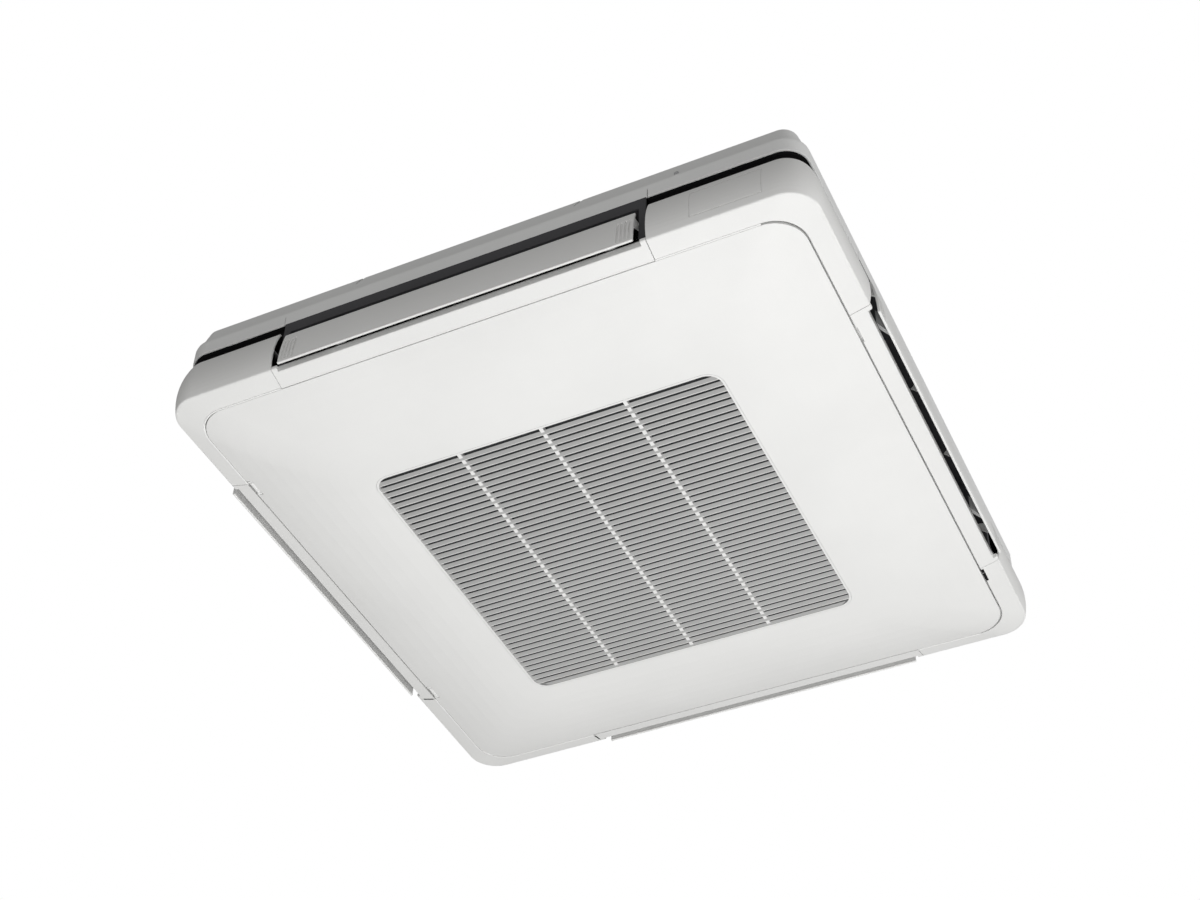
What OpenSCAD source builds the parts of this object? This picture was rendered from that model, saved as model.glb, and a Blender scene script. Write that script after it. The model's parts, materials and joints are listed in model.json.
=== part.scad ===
/* [Overall size] */
// Width and length of the square unit over its corner covers
unit_w = 950; // [930:2:980]
// Height from the top plate down to the grille
unit_h = 198; // [192:1:212]
// How far the underside bulges below the outer edge of the rim
dome_h = 40; // [36:1:44]
// Plan radius of the outer corners
corner_r = 45; // [40:1:52]
// Running clearance between a pin and its bore
pin_clear = 0.05; // [0.03:0.01:0.08]
// Gap left between pieces that only meet
seat_gap = 0.3; // [0.2:0.05:0.4]

/* [Hanging] */
// Depth of the hanger plates below the top plate
hanger_drop = 28; // [26:1:34]
// Distance between the hanger bolts, both ways
hanger_pitch = 800; // [796:1:804]
// Width of the bolt slots
bolt_slot_w = 12; // [11:0.5:13]
// Length of the bolt slots
bolt_slot_l = 30; // [24:1:34]
// Side of the square hanger plate
hanger_plate = 52; // [46:1:56]
// Thickness of the hanger plate
hanger_t = 3; // [2.5:0.5:4]
// Thickness of the corner post steel
post_t = 2; // [1.6:0.2:2.4]

/* [Upper casing] */
// Thickness of the casing steel
sheet_t = 1.2; // [1:0.1:1.6]
// Inset of the top plate's edge from the corner covers
casing_inset = 23; // [20:1:28]
// Inset of the lip's widest line from the corner covers
lip_inset = 9; // [7:0.5:11]
// Height of the casing's side, from the top plate to the lip
band_h = 61; // [57:1:64]
// Height of the sloped upper part of the side
slope_h = 32; // [28:1:38]
// Step from the sloped part out to the upright skirt
skirt_step = 4.5; // [3:0.5:6]
// How far the lip curls inwards
lip_curl = 2.5; // [2:0.5:4]
// Width of the top plate's strips beside the hanger windows
strip_w = 60; // [58:1:62]
// Thickness of the foam under the top plate
foam_t = 8; // [6:1:10]
// Distance between the two relief notches of a side
notch_pitch = 336; // [320:2:350]
// Width of a relief notch
notch_w = 14; // [11:1:17]
// Depth of a relief notch
notch_h = 12; // [9:1:15]
// Height of the short seam cuts in the lip
seam_cut_h = 16; // [12:1:20]

/* [Corner covers] */
// Wall of the corner covers and lips
cover_t = 2.5; // [2:0.1:3]
// Height of the dark recess between casing and covers
recess_h = 15; // [12:1:18]
// Radius of the bulging wall of a cover
wall_r = 120; // [90:2:140]
// Outward lean of the wall at its lower edge, in degrees
wall_lean = 13; // [10:1:18]
// Radius at the upper edge of a cover
crest_r = 10; // [8:1:11]
// Radius of the upper corner at each end of a cover
end_r = 7; // [5:1:9]
// Radius at the lower edge of a cover
edge_r = 3; // [2:0.5:4]
// Width of the sloping rim round the intake panel
rim_w = 28.6; // [26:0.2:31]
// Slope of the rim in degrees
rim_tilt = 16.2; // [14:0.2:18]
// Plan radius of the seam's corners
seam_r = 47; // [42:1:52]
// Gap between a cover and the lip beside it
joint_gap = 0.8; // [0.6:0.1:1.2]
// Width of the knock-out panel in the pipe corner
knockout_w = 98; // [80:2:104]
// Height of the knock-out panel
knockout_h = 50; // [40:1:52]

/* [Air outlets] */
// Length of each side opening between two covers
outlet_len = 555; // [540:1:565]
// Offset of each opening from the middle of its side
outlet_shift = 22.5; // [18:0.5:24]
// Length of the mouth inside the end flanges
mouth_len = 527; // [515:1:533]
// Wall of the dark outlet liner
liner_t = 2.5; // [2:0.1:3]
// Inset of the liner's front face from the covers
fascia_inset = 9; // [8:0.5:11]
// Height of the dark fascia over the mouth
fascia_h = 19; // [16:1:21]
// Width of the liner's end flanges
flange_w = 10; // [8:0.5:12]
// Radius at the top of the lower lip's nose
nose_r = 7; // [6:0.5:8]
// Radius at the foot of the nose
nose_edge_r = 1.5; // [1:0.5:3]
// Height of the lower lip above the rim's edge
nose_rise = 14; // [13:0.5:15]
// Inset of the nose from the covers
nose_inset = 6; // [5:0.5:8]
// Distance of the mouth gussets from the middle
gusset_x = 200; // [185:1:215]

/* [Flaps] */
// Height of a flap
flap_h = 61; // [59:0.5:64]
// Thickness of a flap
flap_t = 3; // [2.5:0.1:3.5]
// Tilt of the closed flap in degrees
flap_tilt = 7.2; // [6:0.2:8]
// How far the flap's lower edge stands out past the covers
flap_proud = 8; // [7:0.5:10]
// How far the flap's lower edge hangs below the rim's edge
flap_drop = 0.5; // [0:0.5:3]
// Bulge of the flap's outer face
flap_bulge = 2; // [1:0.2:3]
// Inset of the flap axis from the covers
pivot_inset = 17; // [16.5:0.1:17.5]
// Height of the flap axis above the rim's edge
pivot_rise = 54; // [53:0.5:55]
// Radius of the flap pins
flap_pin_r = 3.25; // [2.8:0.05:3.5]
// Distance of the small flap ribs from the middle
rib_x = 71; // [60:1:90]
// Number of finger grooves at each flap end
groove_n = 4; // [3:1:5]

/* [Intake panel] */
// Gap round the intake panel
seam_gap = 2.4; // [2:0.1:3]
// Thickness of the intake panel
panel_t = 3; // [2.5:0.1:3.5]
// Side of the square grille window
grille_w = 527; // [515:1:535]
// Corner radius of the grille window
grille_r = 25; // [20:1:30]
// Width of the flat ring round the grille
flat_ring = 11; // [8:1:14]
// Distance from slat to slat
slat_pitch = 12.1; // [11.7:0.1:12.6]
// Width of a slat
slat_w = 5.6; // [5:0.1:6.4]
// Thickness of a slat
slat_t = 1.4; // [1.2:0.1:1.8]
// Tilt of the slats from level, in degrees
slat_tilt = 50; // [45:1:54]
// Distance between the spines that carry the slats
spine_pitch = 126; // [120:1:130]
// Width of a spine
spine_w = 5.5; // [4.5:0.5:6.5]
// Gap between the window's near edge and the first slat
first_gap = 15.7; // [13:0.1:18]
// How far the spines lie above the slats' lower edges
spine_rise = 2.4; // [2:0.1:3]
// Distance of the panel's hinge axis inside its edge
hinge_in = 5; // [4.8:0.1:5.4]
// Radius of the panel's hinge pins
hinge_pin_r = 2; // [1.8:0.1:2.2]
// Travel of a panel catch
catch_travel = 6; // [5:0.5:7]

/* [Fan] */
// Radius of the fan wheel
fan_r = 235; // [225:1:245]
// Number of fan blades
blade_n = 7; // [5:1:9]
// Radius of the inlet ring on the wheel's shroud
inlet_r = 177; // [170:1:184]
// Running gap between inlet ring and bell mouth
inlet_gap = 4.5; // [3.5:0.5:6]
// Radius of the motor's can
motor_r = 68; // [60:1:74]
// Radius of the motor shaft
shaft_r = 5; // [4:0.5:6]

/* [Coil and pipes] */
// Inset of the coil's outer face from the covers
coil_inset = 109; // [107:1:114]
// Depth of the coil's fins
coil_t = 34; // [28:1:40]
// Height of the drain pan
pan_h = 24; // [22:1:28]
// Outside radius of the gas pipe's union
gas_union_r = 11; // [10:0.5:12]
// Outside radius of the liquid pipe's union
liquid_union_r = 8; // [7:0.5:9]
// Outside radius of the gas pipe
gas_pipe_r = 7.9; // [7:0.1:8.5]
// Outside radius of the liquid pipe
liquid_pipe_r = 4.8; // [4:0.1:5.5]
// Bore radius of the drain socket
drain_bore_r = 13; // [12:0.5:14]
// Bore radius of the cable grommet
cable_bore_r = 11; // [9:0.5:12]

/* [Control box] */
// Length of the control box
box_l = 400; // [360:5:430]
// Width of the control box
box_w = 84; // [76:1:90]
// Depth of the control box
box_d = 26; // [22:1:28]

/* [Hidden] */
$fn = 48;

white = [0.93, 0.93, 0.92];
dark = [0.16, 0.16, 0.17];
steel = [0.72, 0.73, 0.74];
copper = [0.78, 0.46, 0.3];

// Half width, levels and the centre lines of the corner arcs
half_w = unit_w / 2;
corner_c = half_w - corner_r;
top_z = hanger_drop;
rim_z = top_z - unit_h + dome_h;
base_z = rim_z - dome_h;
sheet_z = top_z - sheet_t;
foam_z = sheet_z - foam_t;
slope_z = top_z - slope_h;
lip_z = top_z - band_h;
cover_top_z = lip_z - recess_h;
rim_fall = tan(rim_tilt);

// Distances from the middle of the unit to each face of a side
casing_d = half_w - casing_inset;
knee_d = half_w - lip_inset;
slope_d = knee_d - skirt_step;
curl_d = knee_d - lip_curl;
rim_in_d = half_w - rim_w;
rim_in_z = rim_z - rim_w * rim_fall;
panel_d = rim_in_d - seam_gap;
panel_edge_z = rim_z - (rim_w + seam_gap) * rim_fall;
screw_drop = 27;
screw_r = 1.6;
screw_out = 51;
fascia_d = half_w - fascia_inset;
nose_front_d = half_w - nose_inset;
nose_d = nose_front_d - nose_r;
lip_top_z = rim_z + nose_rise;
nose_foot_d = nose_front_d - nose_edge_r;
nose_foot_z = rim_z - (half_w - nose_foot_d) * rim_fall + nose_edge_r / cos(rim_tilt);
coil_d = half_w - coil_inset;

// Levels of the drain pan and the frame that carries it
pan_z = rim_z + 12;
pan_top_z = pan_z + pan_h;
pan_d = coil_d + 22;
pan_hole_r = fan_r - 20;
trough_h = 12;
frame_t = 2.5;
frame_in_d = pan_d - 8;
web_d = pan_d + 27;
ledge_d = half_w - 23;
ledge_z = rim_z - 0.5;
ledge_r = seam_r + 5;

// Section of a cover: centres of the arcs at its edge, wall and crest
edge_cd = half_w - edge_r;
edge_cz = rim_z - edge_r * rim_fall + edge_r / cos(rim_tilt);
wall_cd = edge_cd - (wall_r - edge_r) * cos(wall_lean);
wall_cz = edge_cz + (wall_r - edge_r) * sin(wall_lean);
crest_end = 72;
crest_a = asin((cover_top_z - crest_r * sin(crest_end) - wall_cz) / (wall_r - crest_r));
crest_cd = wall_cd + (wall_r - crest_r) * cos(crest_a);
crest_cz = wall_cz + (wall_r - crest_r) * sin(crest_a);

// Dark channel over the covers, its lower flange ends inside the crest
channel_d = crest_cd - 4.5;
channel_low = cover_top_z - 7;
channel_t = 2;
channel_out_d = crest_cd - seat_gap
    + sqrt(pow(crest_r - cover_t, 2) - pow(channel_low + channel_t - crest_cz, 2));

// Hanger windows, and the strips of the top plate between them
window = strip_w / 2;
window_in = hanger_pitch / 2 - window;
service_x = window_in - 80;
service_y = -(window_in - 108);

// Ends of the openings, measured along a side from its middle
cover_end_long = outlet_len / 2 - outlet_shift;
cover_end_short = outlet_len / 2 + outlet_shift;
mouth_x = mouth_len / 2;
flange_x = mouth_x + flange_w;
catch_at = [-317, 217];
catch_w = 28;
hinge_at = [-292, 235];
hinge_w = 30.4;

// Flap section: lower edge, upper edge and axis
flap_low_d = half_w + flap_proud;
flap_low_z = rim_z - flap_drop;
flap_top_d = flap_low_d - flap_h * sin(flap_tilt);
flap_top_z = flap_low_z + flap_h * cos(flap_tilt);
pivot_d = half_w - pivot_inset;
pivot_z = rim_z + pivot_rise;
fascia_low_z = pivot_z + 24;
flap_x = mouth_x - 1;
arm_t = 3;
arm_x = mouth_x - 3.5;
bush_r = flap_pin_r + 2;
bush_l = 5;
motor_x = mouth_x + liner_t + 3;
swing_can_r = 11.5;
swing_offset = 6.5;

// Grille window and the curve of the domed panel round it
grille_d = grille_w / 2;
flat_d = grille_d + flat_ring;
dome_steps = 8;
collar_h = 12;
collar_t = 3;
insert_rim = 3.2;
slat_n = floor((grille_w - insert_rim) / slat_pitch);
spine_n = 3;
insert_h = 10;
hinge_d = panel_d - hinge_in;
hinge_z = ledge_z - 7.5;
knuckle_r = hinge_pin_r + 1.5;
knuckle_l = 22;
lug_t = 3;
slide_z = ledge_z - 7;
catch_in = web_d - 8;
catch_out = web_d + 14;

// Fan wheel levels
hub_z = foam_z - 12.8;
hub_t = 3;
blade_low_z = pan_top_z + 24;
blade_in_r = fan_r - 68;
dish_z = hub_z - 51;
motor_top_z = foam_z - 9;
motor_low_z = dish_z + 12;
shaft_low_z = dish_z - 22;
shroud_low_z = blade_low_z - 18;
shroud_flat_w = 21;
cone_in_r = motor_r + 20;
cone_out_r = motor_r + 64;
throat_r = inlet_r - inlet_gap - 2.5;
throat_top_z = shroud_low_z + 6;

// Pipe corner: the near right corner, where the coil is open
pipe_x = coil_d - 56;
pipe_y = -(coil_d + 39);
pipe_gap = 34;
pipe_top_z = top_z - 4;
pipe_hole = [68, 44];
coil_low_z = pan_top_z - trough_h + 1;
coil_open = coil_d - 81;
coil_r = 60;
plate_t = 2;
header_x = coil_open + 27;
header_y = -(coil_d - 9);
pump_x = coil_d - 44;
pump_r = 18;
drain_x = coil_d + 42;
drain_y = -(coil_d - 28);
valve_x = pipe_x + pipe_gap;
valve_y = -coil_d;
valve_r = 12;
tube_r = 3.5;
bend_r = 8;
bend_end = 15;
bend_n = 4;
elbow_grow = 0.5;
hose_r = 8;
grommet_x = coil_d + 46;
grommet_y = -(coil_d - 76);

// Control box under the drain pan, beyond the filter
box_gap = 0.5;
board_l = box_l - 170;
board_x = (board_l - box_l) / 2 + 25;
board_post_x = [board_x - 90, board_x + 80];
terminal_l = 84;
terminal_x = box_l / 2 - 70;
box_y = frame_in_d - box_gap - box_w / 2;
box_t = 1.5;

// Side frame: X runs along the side and -Y points outwards
module on_side(k) {
    rotate([0, 0, 90 * k]) mirror([k % 2, 0, 0]) children();
}

// Extrudes a section drawn as (distance, height) along a side
module along_side(x0, x1) {
    translate([(x0 + x1) / 2, 0, 0])
        rotate([0, 0, -90]) rotate([90, 0, 0])
            linear_extrude(height = x1 - x0, center = true) children();
}

// Plate of a given thickness across a side, drawn as (distance, height)
module side_plate(x, t) {
    along_side(x - t / 2, x + t / 2) children();
}

module outlet_centre() {
    translate([-outlet_shift, 0, 0]) children();
}

// Rounded square drawn with true arcs
module round_square(side, r) {
    square([side - 2 * r, side], center = true);
    square([side, side - 2 * r], center = true);
    for (sx = [-1, 1], sy = [-1, 1])
        translate([sx * (side / 2 - r), sy * (side / 2 - r)]) circle(r);
}

module round_plate(side, r, z0, z1) {
    translate([0, 0, z0]) linear_extrude(z1 - z0) round_square(side, r);
}

module round_ring(outer, outer_r, inner, inner_r, z0, z1) {
    translate([0, 0, z0]) linear_extrude(z1 - z0)
        difference() {
            round_square(outer, outer_r);
            round_square(inner, inner_r);
        }
}

// Sweeps a section round one corner, with straight runs that stop at 'end'
module corner_sweep(end) {
    run = corner_c - end;
    translate([corner_c, corner_c, 0])
        rotate_extrude(angle = 90) translate([-corner_c, 0]) children();
    translate([corner_c, end + run / 2, 0])
        rotate([90, 0, 0]) linear_extrude(run, center = true) translate([-corner_c, 0]) children();
    translate([end + run / 2, corner_c, 0])
        rotate([0, 0, 90]) rotate([90, 0, 0])
            linear_extrude(run, center = true) translate([-corner_c, 0]) children();
}

// Points of an arc in a section
function arc(cx, cy, r, a0, a1, n) =
    [for (i = [0:n]) [cx + r * cos(a0 + (a1 - a0) * i / n), cy + r * sin(a0 + (a1 - a0) * i / n)]];

// A straight round tube between two points
module tube(p, q, r) {
    v = q - p;
    l = norm(v);
    translate(p) rotate([0, acos(v[2] / l), atan2(v[1], v[0])]) cylinder(h = l, r = r);
}

// Upper casing: a band round the edge, with its lip
module casing_section() {
    inner_d = casing_d - sheet_t;
    polygon([
        [corner_c, top_z], [casing_d - 2, top_z], [casing_d - 0.6, top_z - 0.5], [casing_d, top_z - 2],
        [slope_d, slope_z], [knee_d - 1, slope_z - 3], [knee_d, slope_z - 7],
        [knee_d, lip_z + 1], [knee_d - 0.5, lip_z + 0.2], [curl_d, lip_z], [curl_d, lip_z + 1],
        [knee_d - sheet_t, lip_z + 1.6], [knee_d - sheet_t, slope_z - 6.8],
        [knee_d - 1 - sheet_t, slope_z - 2.4], [slope_d - sheet_t - 0.5, slope_z + 0.8],
        [inner_d - 0.1, sheet_z - 1.2], [casing_d - 2, sheet_z], [corner_c, sheet_z]
    ]);
}

// A slanted slit that runs down from the band's upper edge
module relief_notch() {
    side = notch_w / 2;
    slit = 5;
    translate([0, -casing_d + 3, top_z]) rotate([90, 0, 0]) linear_extrude(20)
        polygon([[side - slit, 0.1], [side, 0.1], [slit / 2 - side, -notch_h - 0.5], [-side, -notch_h]]);
}

module casing_band() {
    color(white) difference() {
        for (k = [0:3]) rotate([0, 0, 90 * k]) corner_sweep(-0.01) casing_section();
        band_screws() translate([0, 0, -6]) cylinder(h = 10, r = screw_r + seat_gap);
        for (k = [0:3]) on_side(k) outlet_centre() for (s = [-1, 1]) {
            translate([s * notch_pitch / 2, 0, 0]) relief_notch();
            translate([s * (flange_x + 2), -knee_d, lip_z + seam_cut_h / 2 - 1])
                cube([1, 30, seam_cut_h], center = true);
        }
    }
}

// A plate between two corners, given as x0, y0, x1, y1
module plan_box(p, z0, z1) {
    translate([p[0], p[1], z0]) cube([p[2] - p[0], p[3] - p[1], z1 - z0]);
}

// Four plates that leave the hanger windows and the pipe corner open
module top_plates() {
    edge = corner_c - seat_gap;
    inner = window_in - seat_gap;
    color(white) {
        plan_box([-inner, -inner, inner, edge], sheet_z, top_z);
        plan_box([-inner, -edge, service_x - seat_gap, -window_in], sheet_z, top_z);
        plan_box([-edge, -inner, -window_in, inner], sheet_z, top_z);
        plan_box([window_in, service_y + seat_gap, edge, inner], sheet_z, top_z);
    }
}

// Plates over the pipe corner: one for the pipes, one for drain and cables
module service_plates() {
    edge = corner_c - seat_gap;
    split_x = (drain_x + grommet_x) / 2;
    drain_side = 2 * (drain_bore_r + 3 + seat_gap);
    cable_side = 2 * (cable_bore_r + 2 + seat_gap);
    h = sheet_t + 2;
    mid_z = top_z - sheet_t / 2;
    color(white) difference() {
        union() {
            plan_box([service_x, -edge, window_in - seat_gap, -window_in], sheet_z, top_z);
            plan_box([window_in, -window_in, split_x, service_y], sheet_z, top_z);
            plan_box([split_x + seat_gap, -window_in, edge, service_y], sheet_z, top_z);
        }
        translate([pipe_x + pipe_gap / 2, pipe_y, mid_z])
            cube([pipe_hole[0], pipe_hole[1], h], center = true);
        translate([drain_x, drain_y, mid_z]) cube([drain_side, drain_side, h], center = true);
        translate([grommet_x, grommet_y, mid_z]) cube([cable_side, cable_side, h], center = true);
    }
}

// Four foam boards under the plates
module top_insulation() {
    edge = casing_d - 4;
    inner = window_in - 1;
    color([0.25, 0.25, 0.26]) {
        plan_box([-inner, -(window_in + 5), inner, edge], foam_z, sheet_z);
        plan_box([-inner, -edge, service_x - 2, -(window_in + 5 + seat_gap)], foam_z, sheet_z);
        plan_box([-edge, -inner, -(inner + seat_gap), inner], foam_z, sheet_z);
        plan_box([inner + seat_gap, service_y + 2, edge, inner], foam_z, sheet_z);
    }
}

// Two folded straps stand at each hanger plate, with their feet turned inwards
module corner_strap() {
    a = hanger_pitch / 2 - hanger_plate / 2;
    foot = 12;
    translate([a - post_t, a + seat_gap, pan_z]) cube([post_t, hanger_plate - seat_gap, sheet_z - pan_z]);
    translate([a - foot, a + seat_gap, pan_z]) cube([foot, hanger_plate - seat_gap, post_t]);
}

module corner_posts() {
    color(steel) for (k = [0:3]) rotate([0, 0, 90 * k]) {
        corner_strap();
        mirror([1, -1, 0]) corner_strap();
    }
}

module hanger_brackets() {
    a = hanger_pitch / 2;
    flange = 20;
    color(steel) for (sx = [-1, 1], sy = [-1, 1]) translate([sx * a, sy * a, 0]) difference() {
        union() {
            translate([0, 0, -hanger_t / 2]) cube([hanger_plate, hanger_plate, hanger_t], center = true);
            translate([-sx * (hanger_plate - hanger_t) / 2, 0, -flange / 2])
                cube([hanger_t, hanger_plate, flange], center = true);
            translate([0, -sy * (hanger_plate - hanger_t) / 2, -flange / 2])
                cube([hanger_plate, hanger_t, flange], center = true);
        }
        translate([0, 0, -hanger_t - 1]) linear_extrude(hanger_t + 2) {
            square([bolt_slot_l - bolt_slot_w, bolt_slot_w], center = true);
            for (s = [-1, 1]) translate([s * (bolt_slot_l - bolt_slot_w) / 2, 0]) circle(bolt_slot_w / 2);
        }
    }
}

// Places on the sloped band for one screw on each side, with Z square to the band
module band_screws() {
    lean = atan2(slope_d - casing_d, slope_h);
    screw_d = casing_d + (slope_d - casing_d) * screw_drop / slope_h;
    for (k = [0:3]) on_side(k) outlet_centre()
        translate([mouth_x + screw_out, -screw_d, top_z - screw_drop]) rotate([90 - lean, 0, 0]) children();
}

module casing_screws() {
    color(steel) band_screws() {
        translate([0, 0, 0.1]) cylinder(h = 1.6, r = 3.2);
        translate([0, 0, -5]) cylinder(h = 5.3, r = screw_r);
    }
}

// Fan motor and wheel
module motor_mount() {
    color(steel) difference() {
        translate([0, 0, foam_z - 3]) cylinder(h = 3, r = motor_r + 26);
        translate([0, 0, foam_z - 4]) cylinder(h = 5, r = 20);
    }
}

module motor_grommets() {
    color(dark) for (i = [0:2]) rotate([0, 0, 120 * i])
        translate([motor_r + 12, 0, motor_top_z]) cylinder(h = foam_z - 3 - motor_top_z, r = 8);
}

module fan_motor() {
    ear_t = 3;
    color([0.5, 0.51, 0.53]) difference() {
        union() {
            rotate_extrude() polygon([
                [0, motor_low_z], [motor_r - 10, motor_low_z], [motor_r, motor_low_z + 8],
                [motor_r, motor_top_z - 4], [motor_r - 4, motor_top_z], [0, motor_top_z]
            ]);
            translate([0, 0, motor_low_z - 3]) cylinder(h = 4, r = 16);
            for (i = [0:2]) rotate([0, 0, 120 * i]) {
                translate([motor_r + 12, 0, motor_top_z - ear_t]) cylinder(h = ear_t, r = 9);
                translate([motor_r - 6, -9, motor_top_z - ear_t]) cube([18, 18, ear_t]);
            }
        }
        translate([0, 0, motor_low_z - 4]) cylinder(h = 24, r = shaft_r + pin_clear);
    }
}

module fan_shaft() {
    color(steel) translate([0, 0, shaft_low_z])
        cylinder(h = motor_low_z + 18 - shaft_low_z, r = shaft_r);
}

// Backward-curved blade drawn as two arcs in plan
module blade_plan() {
    blade_t = 3;
    sweep = 34;
    n = 10;
    out = [for (i = [0:n]) let (r = blade_in_r + (fan_r - 2 - blade_in_r) * i / n, a = -sweep * i / n)
        [r * cos(a), r * sin(a)]];
    back = [for (i = [n:-1:0]) let (r = blade_in_r + (fan_r - 2 - blade_in_r) * i / n, a = -sweep * i / n)
        [r * cos(a) + blade_t * 0.45, r * sin(a) + blade_t]];
    polygon(concat(out, back));
}

module fan_wheel() {
    boss_r = 16;
    color([0.86, 0.87, 0.86]) {
        rotate_extrude() polygon([
            [shaft_r + pin_clear, shaft_low_z + 8], [boss_r, shaft_low_z + 8], [boss_r + 4, dish_z - 3],
            [cone_in_r, dish_z - 3], [cone_out_r, hub_z - hub_t], [fan_r, hub_z - hub_t], [fan_r, hub_z],
            [cone_out_r - 4, hub_z], [cone_in_r - 3, dish_z], [boss_r - 4, dish_z],
            [shaft_r + pin_clear, dish_z + 3]
        ]);
        for (i = [0:blade_n - 1]) rotate([0, 0, 360 * i / blade_n])
            translate([0, 0, blade_low_z]) linear_extrude(hub_z - hub_t - blade_low_z + 1) blade_plan();
    }
}

module wheel_shroud() {
    flat_r = inlet_r + shroud_flat_w;
    color([0.86, 0.87, 0.86]) rotate_extrude() polygon([
        [fan_r, blade_low_z - 3], [flat_r + 1, blade_low_z - 3], [inlet_r + 10.5, blade_low_z - 7],
        [inlet_r + 4, blade_low_z - 12], [inlet_r + 2.5, shroud_low_z], [inlet_r, shroud_low_z],
        [inlet_r + 1.5, blade_low_z - 11], [inlet_r + 8.5, blade_low_z - 4.5], [flat_r, blade_low_z],
        [fan_r, blade_low_z]
    ]);
}

module shaft_nut() {
    color(steel) translate([0, 0, shaft_low_z + 1]) difference() {
        cylinder(h = 6.9, r = 10.5, $fn = 6);
        translate([0, 0, -1]) cylinder(h = 9, r = shaft_r + pin_clear);
    }
}

module bell_mouth() {
    flare_r = pan_hole_r + 30;
    color(white) rotate_extrude() polygon([
        [throat_r, throat_top_z], [throat_r + 2.5, throat_top_z], [throat_r + 2.5, throat_top_z - 10],
        [throat_r + 7.5, throat_top_z - 22], [throat_r + 19, pan_z + 5], [throat_r + 35, pan_z],
        [flare_r, pan_z], [flare_r, pan_z - 2.5], [throat_r + 34, pan_z - 2.5],
        [throat_r + 17, pan_z + 3], [throat_r + 5, throat_top_z - 22], [throat_r, throat_top_z - 10]
    ]);
}

// Heat exchanger
module coil_opening() {
    translate([coil_open, -coil_d - 1, coil_low_z - 1])
        cube([coil_d, coil_d - coil_open + 1, foam_z - coil_low_z + 2]);
}

module coil_fins() {
    color([0.8, 0.81, 0.82]) difference() {
        round_ring(2 * coil_d, coil_r, 2 * (coil_d - coil_t), coil_r - coil_t + 4, coil_low_z, foam_z);
        coil_opening();
    }
}

module coil_end_plates() {
    h = foam_z - coil_low_z;
    color(steel) {
        translate([coil_open, -coil_d, coil_low_z]) cube([plate_t, coil_t, h]);
        translate([coil_d - coil_t, -coil_open - plate_t, coil_low_z]) cube([coil_t, plate_t, h]);
    }
}

module coil_bend() {
    rotate([90, 0, 0]) rotate_extrude(angle = 180) translate([bend_r, 0]) circle(tube_r, $fn = 24);
}

module coil_bends() {
    step = (foam_z - coil_low_z - 2 * bend_end) / (bend_n - 1);
    color(copper) for (i = [0:bend_n - 1]) {
        z = coil_low_z + bend_end + step * i;
        translate([coil_open + plate_t, -coil_d + coil_t - 10, z]) rotate([0, 90, 0]) coil_bend();
        translate([coil_d - coil_t + 10, -coil_open - plate_t, z])
            rotate([0, 0, -90]) rotate([0, 90, 0]) coil_bend();
    }
}

module gas_header() {
    header_r = 9.5;
    low = coil_low_z + 12;
    high = foam_z - 24;
    color(copper) difference() {
        union() {
            translate([header_x, header_y, low]) cylinder(h = high - low, r = header_r);
            for (i = [0:3]) let (z = low + 12 + 18 * i)
                tube([coil_open + plate_t, header_y, z], [header_x, header_y, z], tube_r);
        }
    }
}

module gas_pipe() {
    level = foam_z - 60;
    turn = [pipe_x, pipe_y, level];
    color(copper) {
        difference() {
            tube([header_x, header_y, level], turn, gas_pipe_r);
            translate([header_x, header_y, level - 20]) cylinder(h = 40, r = 9.5 + seat_gap);
        }
        translate(turn) sphere(gas_pipe_r + elbow_grow);
        translate(turn) cylinder(h = foam_z - 16 - level, r = gas_pipe_r);
    }
}

module liquid_pipe() {
    low = foam_z - 46;
    turn = [pipe_x + pipe_gap, pipe_y, low];
    color(copper) {
        tube([valve_x, valve_y - valve_r - seat_gap, low], turn, liquid_pipe_r);
        translate(turn) sphere(liquid_pipe_r + elbow_grow);
        translate(turn) cylinder(h = foam_z - 16 - low, r = liquid_pipe_r);
    }
}

module refrigerant_pipes() {
    gas_pipe();
    liquid_pipe();
}

module union_fitting(r) {
    hex_z = foam_z - 16;
    difference() {
        union() {
            translate([0, 0, hex_z]) cylinder(h = 12, r = r + 4, $fn = 6);
            translate([0, 0, hex_z]) cylinder(h = pipe_top_z - hex_z, r = r);
        }
        translate([0, 0, hex_z + 4]) cylinder(h = 40, r = r - 3.4);
    }
}

module pipe_unions() {
    color([0.78, 0.66, 0.36]) {
        translate([pipe_x, pipe_y, 0]) union_fitting(gas_union_r);
        translate([pipe_x + pipe_gap, pipe_y, 0]) union_fitting(liquid_union_r);
    }
}

module expansion_valve() {
    color([0.75, 0.62, 0.35]) translate([valve_x, valve_y, 0]) {
        translate([0, 0, foam_z - 60]) cylinder(h = 30, r = valve_r);
        translate([0, 0, foam_z - 30]) cylinder(h = 22, r = valve_r + 3);
        translate([0, 0, foam_z - 74]) cylinder(h = 14, r = 5);
    }
}

// Distributor cone under the valve and its capillaries to the coil
module distributor() {
    cone_z = foam_z - 92;
    coil_y = -coil_open - plate_t - 0.8 - valve_y;
    color(copper) translate([valve_x, valve_y, 0]) {
        translate([0, 0, cone_z]) cylinder(h = 18, r1 = 11, r2 = 5);
        for (i = [-1:1]) tube([i * 4, 6, cone_z + 4], [i * 4 + 10, coil_y, cone_z - 8 + 6 * i], 2);
    }
}

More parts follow.
